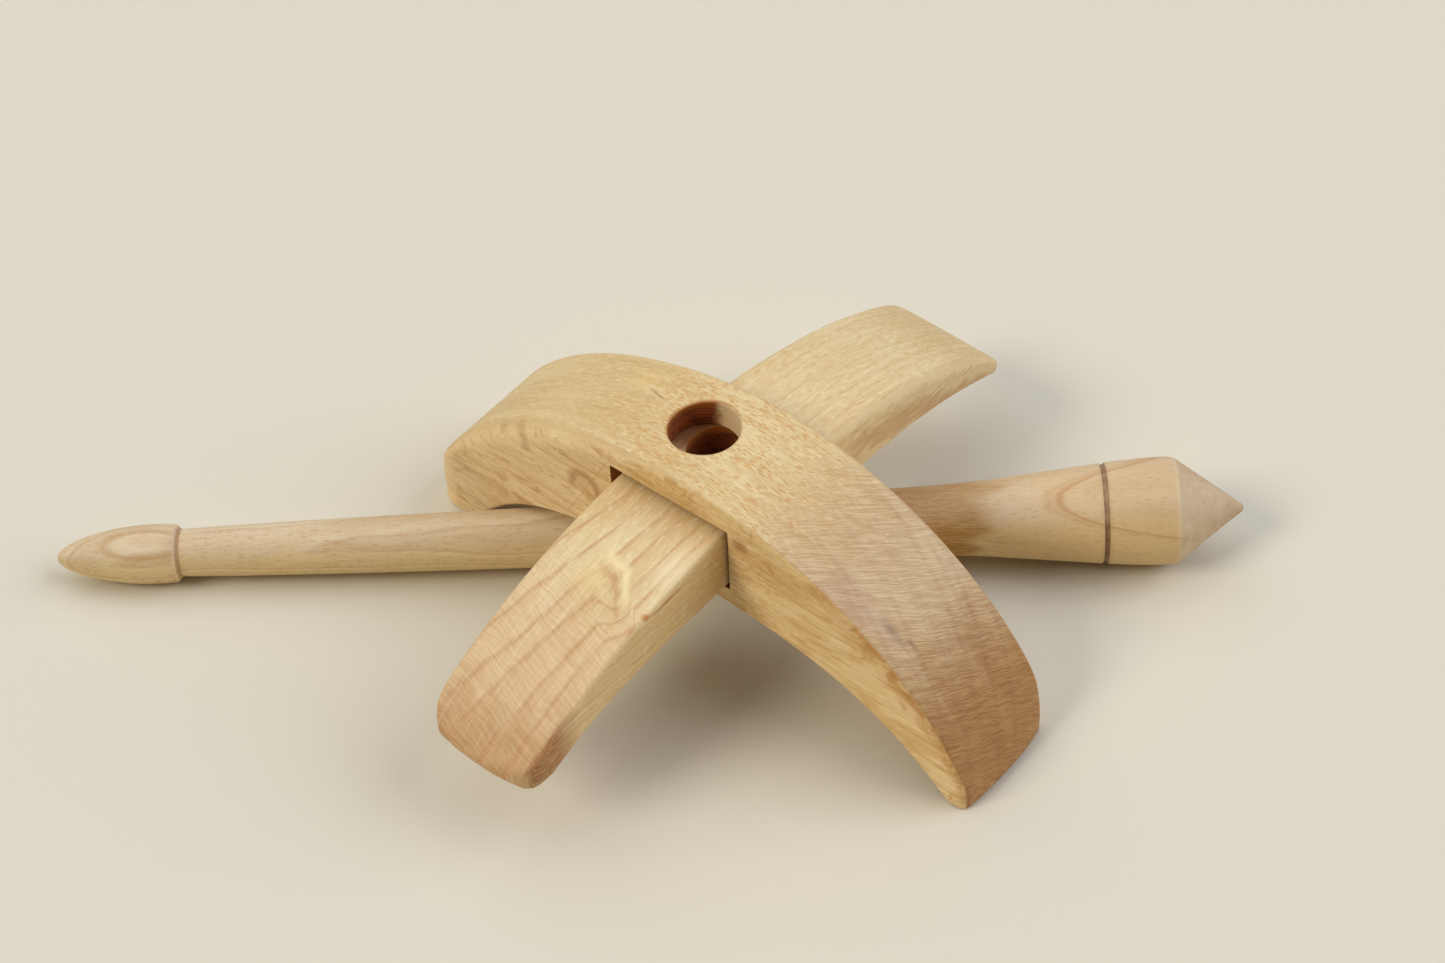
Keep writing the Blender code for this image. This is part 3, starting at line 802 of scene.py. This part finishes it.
    height = fibre * 0.45 + ripple * rippled * 0.5 - fleck * 0.25 - scribe * 0.8 - crease
    return g.finish(0.4 + fibre * 0.22, height, 0.05)


def inner_maple(at):
    """Creamy maple: reddish growth lines fan out to the front foot and fold round a knot."""
    g = Graph("inner_maple_wood", 0.5, at=at)
    marks = INNER_MARKS
    x, y, z = g.place()
    _, ny, _ = g.facing()
    arc, depth = g.field("arc"), g.field("depth")
    side = g.step(abs(ny), 0.5, 0.88)
    top = 1.0 - side
    across = y * top + z * side
    slow = g.noise((x * 0.03, across * 0.12, 3.0)) - 0.5
    mid = g.noise((x * 0.1, across * 0.3, 9.0)) - 0.5
    ahead = g.step(x, 2.0, -10.0)

    broad = g.noise((x * 0.035, across * 0.14, 4.0), 3.0, 0.55)
    wide = g.step(broad, 0.34, 0.66)
    g.colour = g.blend(wide, (234, 214, 170), (224, 196, 144))
    # darker gold near the mortise: partly the wood's tone, partly painted shade from the outer arm
    # above
    slot_tone_and_shade = g.step(x + slow * 8.0, -26.0, -15.0) * ahead
    g.tint(slot_tone_and_shade * 0.6, 208, 168, 106)
    pinkish = g.step(x + slow * 14.0, -30.0, -46.0) * top
    g.tint(pinkish * 0.75, 228, 194, 154)
    foot = g.step(x + mid * 10.0 + y * 0.25, -52.0, -64.0) * top
    g.cover(foot * 0.85, g.blend(wide, (196, 150, 96), (178, 130, 76)))
    behind = g.step(x, 10.0, 20.0)
    g.tint(behind * 0.55, 224, 198, 152)
    tail_end = g.step(x + mid * 10.0, 42.0, 58.0)
    g.tint(tail_end * 0.5, 208, 174, 120)
    g.tint(side * 0.6, 222, 188, 126)
    g.tint(side * behind * 0.6, 250, 226, 176)

    # growth lines, at chosen places on the front half's top
    fan = g.math("MINIMUM", g.math("MAXIMUM", FAN_FROM - x, 0.0), FAN_LONG + 5.0) / FAN_LONG
    ridge = knot_ridge(x, y)
    reach_in = g.step(ridge, -7.5, -0.6) * g.step(ridge, 0.5, -0.7)
    hump = g.bump_at(y, -4.2, 6.5) * 0.8 + g.step(y, -2.0, -6.0) * 0.32
    dip = reach_in * hump * 5.2
    u = y - fan * (6.15 + y * 0.466) + dip + slow * 1.6 + mid * 1.1
    line, haze = 0.0, 0.0
    for at_u in INNER_LINES:
        away = u - at_u
        line = g.bump_at(away, 0.0, 0.55) + line
        haze = g.step(away, -1.7, 0.0) * g.step(away, 0.4, 0.0) + haze
    on_top = top * ahead
    wobble = 0.45 + g.step(g.noise((x * 0.12, y * 0.5, 5.0)), 0.3, 0.6) * 0.55
    # growth lines fainter in that painted shade by the mortise
    wobble = wobble * (1.0 - slot_tone_and_shade * 0.35)
    g.tint(haze * on_top * 0.2, 206, 150, 98)
    g.tint(g.clip(line) * on_top * wobble * 0.46, 190, 124, 76)
    level, level_tail = growth_line(g, z + slow * 5.0 + mid * 2.0, 3.9, 0.5, 0.8)
    side_ahead = side * ahead
    g.tint(level * side_ahead * wobble * 0.26, 190, 130, 74)
    g.tint(level_tail * side_ahead * 0.14, 204, 152, 92)

    # streaks and fibres
    streak = g.noise((x * 0.04, across * 0.9, 4.0), 3.0, 0.6)
    g.tint(g.step(streak, 0.5, 0.72) * (0.22 + behind * 0.14), 204, 158, 102)
    g.tint(g.step(streak, 0.48, 0.28) * 0.26, 250, 238, 204)
    fibre = g.noise((x * 0.25, across * 4.2 + dip * 2.0, 8.0), 4.0, 0.65)
    g.tint(g.step(fibre, 0.52, 0.78) * (0.26 + side * 0.16), 196, 146, 90)
    g.tint(g.step(fibre, 0.47, 0.24) * 0.3, 252, 240, 208)
    mottle = dashes(g, arc, across, 2.6, 0.7, 0.4) * behind
    g.tint(mottle * 0.34, 206, 156, 98)
    cloud = g.noise((x * 0.5, across * 1.5, 6.0), 3.0, 0.62)
    smooth = 1.0 - pinkish * 0.7
    g.tint(g.step(cloud, 0.5, 0.7) * smooth * 0.26, 208, 164, 108)
    g.tint(g.step(cloud, 0.48, 0.3) * smooth * 0.36, 252, 240, 210)

    # ripples
    along_ripple = arc - y * 0.25 + mid * 1.4 + dip * 0.35
    wave = g.noise((along_ripple * 3.9, y * 0.22, 0.5), 2.0, 0.6)
    ripple = g.step(wave, 0.36, 0.66)
    rippled = g.clip(g.step(x + mid * 12.0, -24.0, -44.0) + 0.12) * on_top
    g.tint(ripple * rippled * 0.22, 186, 132, 88)
    g.tint((1.0 - ripple) * rippled * 0.16, 250, 230, 190)

    # the knot: a raised fold, painted pale partly as a highlight on its ridge, with one darker flank,
    # ending in an orange dot on the edge
    fold_at = g.step(y, 3.4, 0.6) * g.step(y, -8.6, -6.4) * top
    bent = ridge + mid * 1.2 - g.bump_at(y, -2.8, 2.6) * 1.5 + g.bump_at(y, -7.0, 2.4) * 0.8
    fold = g.bump_at(bent, 0.2, 1.9) * fold_at
    flank = g.bump_at(bent, -2.3, 1.1)
    g.tint(flank * fold_at * 0.34, 192, 134, 74)
    # the fold's pale band: partly the wood's figure, partly a painted highlight on the ridge
    g.tint(fold * 0.66, 252, 234, 184)
    yellow = blot(g, x, y, marks["bulge"], 0.98) * top
    g.tint(yellow * 0.5, 242, 216, 152)
    # pale whitish patch on the front top: a painted highlight standing in for the sheen
    painted_highlight = blot(g, x, y, marks["painted_highlight"], 0.95) * top
    g.tint(painted_highlight * 0.3, 252, 238, 206)
    dot = blot(g, x, z + y * 0.3, marks["dot"], 0.8) * g.step(y, -9.6, -10.8)
    g.tint(dot * 0.8, 196, 122, 52)
    crack = blot(g, x, z - 0.12 * x, marks["crack"], 0.9) * side * g.step(ny, 0.0, -0.3)
    g.tint(crack * 0.6, 168, 104, 48)

    # darker orange-brown corner low on the right edge
    dark_edge = g.step(x, -51.0, -58.0) * g.step(y + mid * 1.6, -10.0, -11.2)
    g.tint(dark_edge * (0.5 + g.step(fibre, 0.4, 0.6) * 0.4), 150, 86, 32)

    # browned ring round the bore, on the side away from the foot
    dx, dy = x - INNER_BORE[0], y - INNER_BORE[1]
    round_bore = g.step(g.length(dx, dy), BORE_R + 4.5, BORE_R + 3.0)
    browned = round_bore * g.step(dx * 0.9 + dy * 0.44 + mid * 3.0, -3.5, 1.5)
    g.tint(browned * top * 0.9, 128, 66, 20)

    # brown figure on the back half's side
    figure = g.noise((x * 0.07, z * 0.22, 2.0), 3.0, 0.6, 1.2) - 0.5
    level_in = depth + figure * 9.0
    brown = g.step(level_in, 3.6, 5.6) * g.step(level_in, 11.0, 8.0)
    brown = brown * side * g.step(x, 14.0, 24.0)
    g.tint(brown * (0.3 + g.step(fibre, 0.4, 0.6) * 0.3), 192, 130, 66)

    height = fibre * 0.45 + ripple * rippled * 0.5 - g.clip(line) * on_top * 0.2 + fold * 1.2
    return g.finish(0.4 + fibre * 0.2, height, 0.05)


def shaft_wood(at):
    """Dull turned wood with a pinkish cast, cathedral figure at its fat end and a burned ring."""
    g = Graph("shaft_turned_wood", 0.6, 0.28, at)
    x, y, z = g.place()
    slow = g.noise((x * 0.015, y * 0.09, z * 0.09)) - 0.5
    mid = g.noise((x * 0.06, y * 0.3, z * 0.3 + 4.0)) - 0.5
    facing_w = y * 0.76 + z * 0.65
    broad = g.noise((x * 0.03, y * 0.16, z * 0.16), 3.0, 0.55)
    g.colour = g.blend(g.step(broad, 0.32, 0.68), (228, 210, 180), (217, 194, 158))
    g.tint(g.step(facing_w + mid * 4.0, 0.5, -4.0) * 0.75, 242, 212, 150)

    # long figure lines, then the nested arches near the fat end
    line, tail = growth_line(g, z * 0.8 - y * 0.4 + slow * 8.0 + mid * 1.4, 2.7, 0.1, 0.5)
    plain = g.step(x, 182.0, 172.0)
    g.tint(line * plain * 0.26, 182, 134, 86)
    g.tint(tail * plain * 0.2, 196, 154, 108)
    off = facing_w - 2.4
    arches = x - 183.6 - off * off * 0.36 + mid * 4.0 + slow * 3.0
    cathedral = g.bump_at(arches, 0.2, 1.3) + g.bump_at(arches, -2.2, 1.6) * 0.3
    shade = g.step(arches, -4.0, 0.0) * g.step(arches, 0.6, 0.0)
    g.tint(cathedral * 0.62, 182, 128, 74)
    g.tint(shade * 0.3, 198, 152, 100)

    # fibres, pores and short dark strokes
    fibre = g.noise((x * 0.22, y * 3.6, z * 3.6), 4.0, 0.65)
    g.tint(g.step(fibre, 0.5, 0.76) * 0.36, 182, 140, 90)
    g.tint(g.step(fibre, 0.48, 0.24) * 0.26, 238, 222, 196)
    near, dice = g.cells((x * 0.45, y * 1.6, z * 1.6))
    stroke = g.step(near, 0.42, 0.2) * g.step(dice, 0.4, 0.52)
    g.tint(stroke * 0.24, 178, 130, 80)
    near, dice = g.cells((x * 0.9 + 3.0, y * 2.6, z * 2.6))
    pore = g.step(near, 0.34, 0.14) * g.step(dice, 0.5, 0.6)
    g.tint(pore * 0.26, 160, 112, 66)

    # bulb: pale loop open at the shoulder, orange stains below
    on_bulb = g.step(x, 22.6, 22.0)
    g.tint(hoop(g, x, facing_w, BULB_LOOP, 0.26) * on_bulb * 0.45, 186, 138, 88)
    g.tint(blot(g, x, facing_w, BULB_EYE) * on_bulb * 0.4, 232, 212, 180)
    stains = g.step(g.noise((x * 0.35, y * 0.5, z * 0.5 + 3.0)), 0.54, 0.68)
    g.tint(on_bulb * stains * g.step(z, 0.5, -3.0) * 0.6, 194, 130, 62)
    under_shoulder = g.step(x, 22.5, 22.9) * g.step(x, 23.7, 23.2)
    g.tint(under_shoulder * 0.6, 158, 104, 54)

    # darker golden stretch beside the crossing, fingered at its ends
    fingers = x + (fibre - 0.5) * 9.0 + mid * 14.0 - z * 0.35
    g.tint(g.step(x + mid * 12.0, 168.0, 184.0) * 0.4, 200, 158, 108)
    golden = g.step(fingers, 146.0, 155.0) * g.step(fingers, 171.5, 166.5)
    golden = golden * (0.85 + g.step(facing_w, 2.0, -5.0) * 0.4)
    g.tint(golden * (0.5 + g.step(fibre, 0.4, 0.6) * 0.25), 176, 122, 50)

    # cone: greyer, with a faintly worn ridge
    on_cone = g.step(x, 204.6, 205.8)
    g.tint(on_cone * 0.5, 206, 186, 162)
    hazy = g.noise((x * 0.5, y * 0.35, z * 0.35), 4.0, 0.65)
    g.tint(on_cone * g.step(hazy, 0.5, 0.66) * 0.35, 178, 148, 114)
    g.tint(on_cone * g.step(hazy, 0.46, 0.32) * 0.35, 226, 212, 188)
    from_axis = g.length(y, z) + 0.3
    outline = g.step(g.math("DIVIDE", facing_w, from_axis) + (hazy - 0.5) * 0.3, 0.72, 0.95)
    g.tint(on_cone * outline * 0.45, 184, 134, 84)
    g.tint(g.bump_at(x, 204.9, 0.6) * 0.3, 232, 214, 182)
    tip_brown = g.step(x, 211.0, 217.0)
    g.tint(tip_brown * 0.3, 176, 134, 92)

    # burned ring
    char = g.noise((x * 0.8, y * 0.9, z * 0.9), 3.0, 0.6)
    ring_end = RING_AT + RING_WIDE
    ring = g.step(x, RING_AT - 0.1, RING_AT + 0.1) * g.step(x, ring_end + 0.1, ring_end - 0.15)
    g.tint(g.bump_at(x, RING_AT + 0.5, 1.3) * 0.3, 172, 126, 88)
    charred = 0.6 + g.step(char, 0.3, 0.6) * 0.3 - g.step(z, 1.0, 8.0) * 0.22
    g.tint(ring * charred, 122, 84, 62)

    turning = g.math("SINE", x * 14.0 + slow * 6.0)
    height = fibre * 0.6 + turning * 0.1 - stroke * 0.25 - pore * 0.4
    return g.finish(0.54 + fibre * 0.15, height, 0.04)


def scorched_shaded_bore(name, at, centre, top, scorch_and_shade):
    """Drilled wall, red-brown from scorching and painted shade but for a paler right side, darker
    deeper down as painted shade; the last argument is how far it is scorched and shaded all round.
    """
    g = Graph(name, 0.6, 0.25, at)
    x, y, z = g.place()
    yaw = at.to_euler().z
    dx, dy = x - centre[0], y - centre[1]
    right = (dx * math.cos(yaw) - dy * math.sin(yaw)) / BORE_R
    smear = g.noise((x * 0.45, y * 0.45, z * 0.35), 3.0, 0.6)
    fine = g.noise((x * 2.4, y * 2.4, z * 5.0), 3.0, 0.6)
    marks = g.math("SINE", z * 8.0 + smear * 7.0)
    g.colour = g.blend(fine, (250, 228, 190), (228, 192, 140))
    g.tint(g.step(marks, 0.0, 1.0) * 0.3, 170, 122, 70)
    # red-brown mostly on the left: partly scorched wood, partly painted shade, eased towards the lip
    scorched_and_shaded = g.clip(g.step(right + (smear - 0.5) * 0.5, 0.56, 0.2) + scorch_and_shade)
    lip = g.step(z + smear * 1.2, top - 1.4, top - 0.4)
    g.tint(scorched_and_shaded * 0.97, 136, 62, 12)
    g.tint(g.step(smear, 0.44, 0.62) * scorched_and_shaded * (0.6 - lip * 0.3), 76, 30, 8)
    g.tint(lip * scorched_and_shaded * 0.5, 176, 108, 42)
    scuffs = g.step(right, -0.6, -0.95) * g.step(fine, 0.52, 0.66)
    g.tint(scuffs * 0.25, 186, 146, 116)
    # darker deeper down the bore: painted shade
    painted_depth_shade = g.step(z, top - 5.0, top - 11.0)
    g.tint(painted_depth_shade * (0.3 + scorch_and_shade * 0.6), 74, 22, 8)
    return g.finish(0.62, marks * 0.3 + fine * 0.7, 0.08)


def mortise_wood(at):
    """Chiselled inner faces of the mortise, darker and rougher than the outside."""
    g = Graph("mortise_cut_wood", 0.65, 0.25, at)
    x, y, z = g.place()
    fibre = g.noise((x * 2.4, y * 0.5, z * 2.4), 3.0, 0.6)
    broad = g.noise((x * 0.2, y * 0.1, z * 0.2))
    g.colour = g.blend(fibre, (196, 146, 84), (150, 98, 50))
    g.tint(g.step(broad, 0.4, 0.7) * 0.4, 120, 70, 34)
    return g.finish(0.62 + fibre * 0.1, fibre, 0.12)


# ---- pieces ----

def heading(direction):
    """Angle of a level direction about the vertical."""
    return math.atan2(direction.y, direction.x)


def level_frame(origin, yaw):
    """Frame on the floor under a point, its x axis turned to a heading."""
    return Matrix.Translation((origin.x, origin.y, 0.0)) @ Matrix.Rotation(yaw, 4, "Z")


def outer_edge(x, upper, side):
    """Long edges of the outer arm: broad and soft at the back left, crisp at the front right."""
    if not upper:
        return LOWER_EDGE
    tip = ramp(abs(x), 60.0, 48.0)
    soft = ramp(x, 6.0, -24.0)
    rounding = LOWER_EDGE + 3.3 * soft if side < 0 else 1.1 + 1.4 * soft
    return LOWER_EDGE + (rounding - LOWER_EDGE) * tip


def inner_edge(x, upper, side):
    """Long edges of the inner arm: crisp, a little softer on its back half."""
    if not upper:
        return LOWER_EDGE
    tip = ramp(abs(x), 60.0, 50.0)
    soft = ramp(x, 5.0, 30.0)
    return LOWER_EDGE + (0.3 + 1.0 * soft) * tip


def build_outer(at, turn):
    """Outer arm with its bore and its mortise, which is turned to follow the inner arm."""
    mesh, up = arm_mesh("outer_arm_detail", OUTER, outer_edge)
    hand_worked(mesh, 3.1, keep_flat=lambda co: co.z < 0.3 * MM)
    mesh.materials.append(outer_maple(at))
    outer = link("outer_arm_detail", mesh, at)
    cut(outer, [
        (slot_cutter("mortise_tool", turn), mortise_wood(at)),
        (bore_cutter("outer_bore_tool", *OUTER_BORE, up, OUTER_FLARE),
         scorched_shaded_bore("outer_bore_wood", at, OUTER_BORE, OUTER["high"], 0.0)),
    ])
    arm_fields(outer, up)
    return outer


def build_inner(at):
    """Inner arm with its own bore and the raised fold beside its knot."""
    mesh, up = arm_mesh("inner_arm_detail", INNER, inner_edge)
    hand_worked(mesh, 8.4, raised=knot_fold)
    mesh.materials.append(inner_maple(at))
    inner = link("inner_arm_detail", mesh, at)
    cut(inner, [
        (bore_cutter("inner_bore_tool", *INNER_BORE, up, INNER_FLARE),
         scorched_shaded_bore("inner_bore_wood", at, INNER_BORE, INNER["foot"] + INNER["high"], 1.0)),
    ])
    arm_fields(inner, up)
    return inner


def build_shaft():
    """Shaft, from its box: the axis climbs from its thin tip to its fat end."""
    mesh = turned_mesh("shaft_detail", shaft_profile(), SHAFT_SIDES)
    tip = Vector((SHAFT_LOW.x, (SHAFT_LOW.y + SHAFT_HIGH.y) / 2.0, SHAFT_TIP_HIGH * MM))
    at = Matrix.Translation(tip) @ Matrix.Rotation(-math.radians(SHAFT_PITCH), 4, "Y")
    mesh.materials.append(shaft_wood(at))
    return link("shaft_detail", mesh, at)


def build_pieces():
    """All three pieces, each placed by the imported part's mounts, joint or box."""
    # the outer arm lies where its two feet stand
    front, back = MOUNTS["front_foot_rest"], MOUNTS["back_foot_rest"]
    outer_yaw = heading(front - back)
    along = Vector((math.cos(outer_yaw), math.sin(outer_yaw), 0.0))
    outer_at = level_frame((front + back) / 2.0 - along * OUTER_SHIFT * MM, outer_yaw)

    # the inner arm lies square to the axis it swings about
    swing = JOINTS["inner_arm_draw"]
    axis = Vector(swing["axis"])
    inner_yaw = heading(Vector((axis.y, -axis.x, 0.0)))
    inner_at = level_frame(Vector(swing["pos_m"]), inner_yaw)
    inner_at = inner_at @ Matrix.Translation((-INNER_PIVOT * MM, 0.0, 0.0))

    outer = build_outer(outer_at, inner_yaw - math.pi / 2.0 - outer_yaw)
    inner = build_inner(inner_at)
    shaft = build_shaft()
    for ob, body, slot, sharp in ((outer, "outer_arm", "outer_maple", ARM_SHARP),
                                  (inner, "inner_arm", "inner_maple", ARM_SHARP),
                                  (shaft, "shaft", "shaft_wood", SHAFT_SHARP)):
        settle(ob)
        polish(ob, sharp)
        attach(ob, body)
        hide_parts(body)


# ---- floor, light and camera ----

FLOOR_HALF, FLOOR_DROP = 12.0, 0.05 * MM
FLOOR_COLOUR = (223, 218, 204)
ROOM_COLOUR, ROOM_POWER = (1.0, 0.95, 0.88, 1.0), 0.05
# name, where it comes from, spread in degrees, power, colour
LIGHTS = (
    ("key_above", (-0.344, 0.492, 1.039), 73.0, 1.24, (0.98, 1.0, 1.0)),
    ("fill_right", (0.919, 0.0, 0.771), 53.0, 1.72, (0.93, 0.95, 1.0)),
    ("fill_left", (-0.833, -0.388, 0.771), 24.0, 1.38, (1.0, 0.92, 0.75)),
)
CAMERA_AT = (0.02608, -0.354797, 0.418012)
CAMERA_TURN = (42.4588, 1.9914, -0.3440)   # degrees
CAMERA_LENS, CAMERA_SENSOR = 74.74, 36.0   # millimetres


def build_floor():
    """Plain pale floor a hair below the soles."""
    bm = bmesh.new()
    bmesh.ops.create_grid(bm, x_segments=8, y_segments=8, size=FLOOR_HALF)
    mesh = bpy.data.meshes.new("floor")
    bm.to_mesh(mesh)
    bm.free()
    floor = link("floor", mesh, Matrix.Translation((0.0, 0.0, -FLOOR_DROP)))
    g = Graph("floor_plain", 0.9, 0.1)
    g.shader.inputs["Base Color"].default_value = linear(*FLOOR_COLOUR)
    floor.data.materials.append(g.mat)


def build_light():
    """Broad lights, the same all over, in a room that gives back a little warm light."""
    world = bpy.data.worlds.new("studio")
    bpy.context.scene.world = world
    world.use_nodes = True
    back = world.node_tree.nodes["Background"]
    back.inputs["Color"].default_value = ROOM_COLOUR
    back.inputs["Strength"].default_value = ROOM_POWER
    for name, toward, spread, power, colour in LIGHTS:
        data = bpy.data.lights.new(name, "SUN")
        data.angle = math.radians(spread)
        data.energy = power
        data.color = colour
        ob = link(name, data)
        ob.location = toward
        ob.rotation_euler = (-Vector(toward)).to_track_quat("-Z", "Y").to_euler()


def build_camera():
    """Camera at the photograph's angle, a little right of the middle and looking down."""
    data = bpy.data.cameras.new("camera")
    data.sensor_width = CAMERA_SENSOR
    data.sensor_fit = "HORIZONTAL"
    data.lens = CAMERA_LENS
    data.clip_start = 0.01
    data.clip_end = 20.0
    ob = link("camera", data)
    ob.location = CAMERA_AT
    ob.rotation_euler = tuple(math.radians(v) for v in CAMERA_TURN)
    bpy.context.scene.camera = ob


build_camera()
build_pieces()
build_floor()
build_light()
bpy.context.scene.view_settings.view_transform = "Standard"
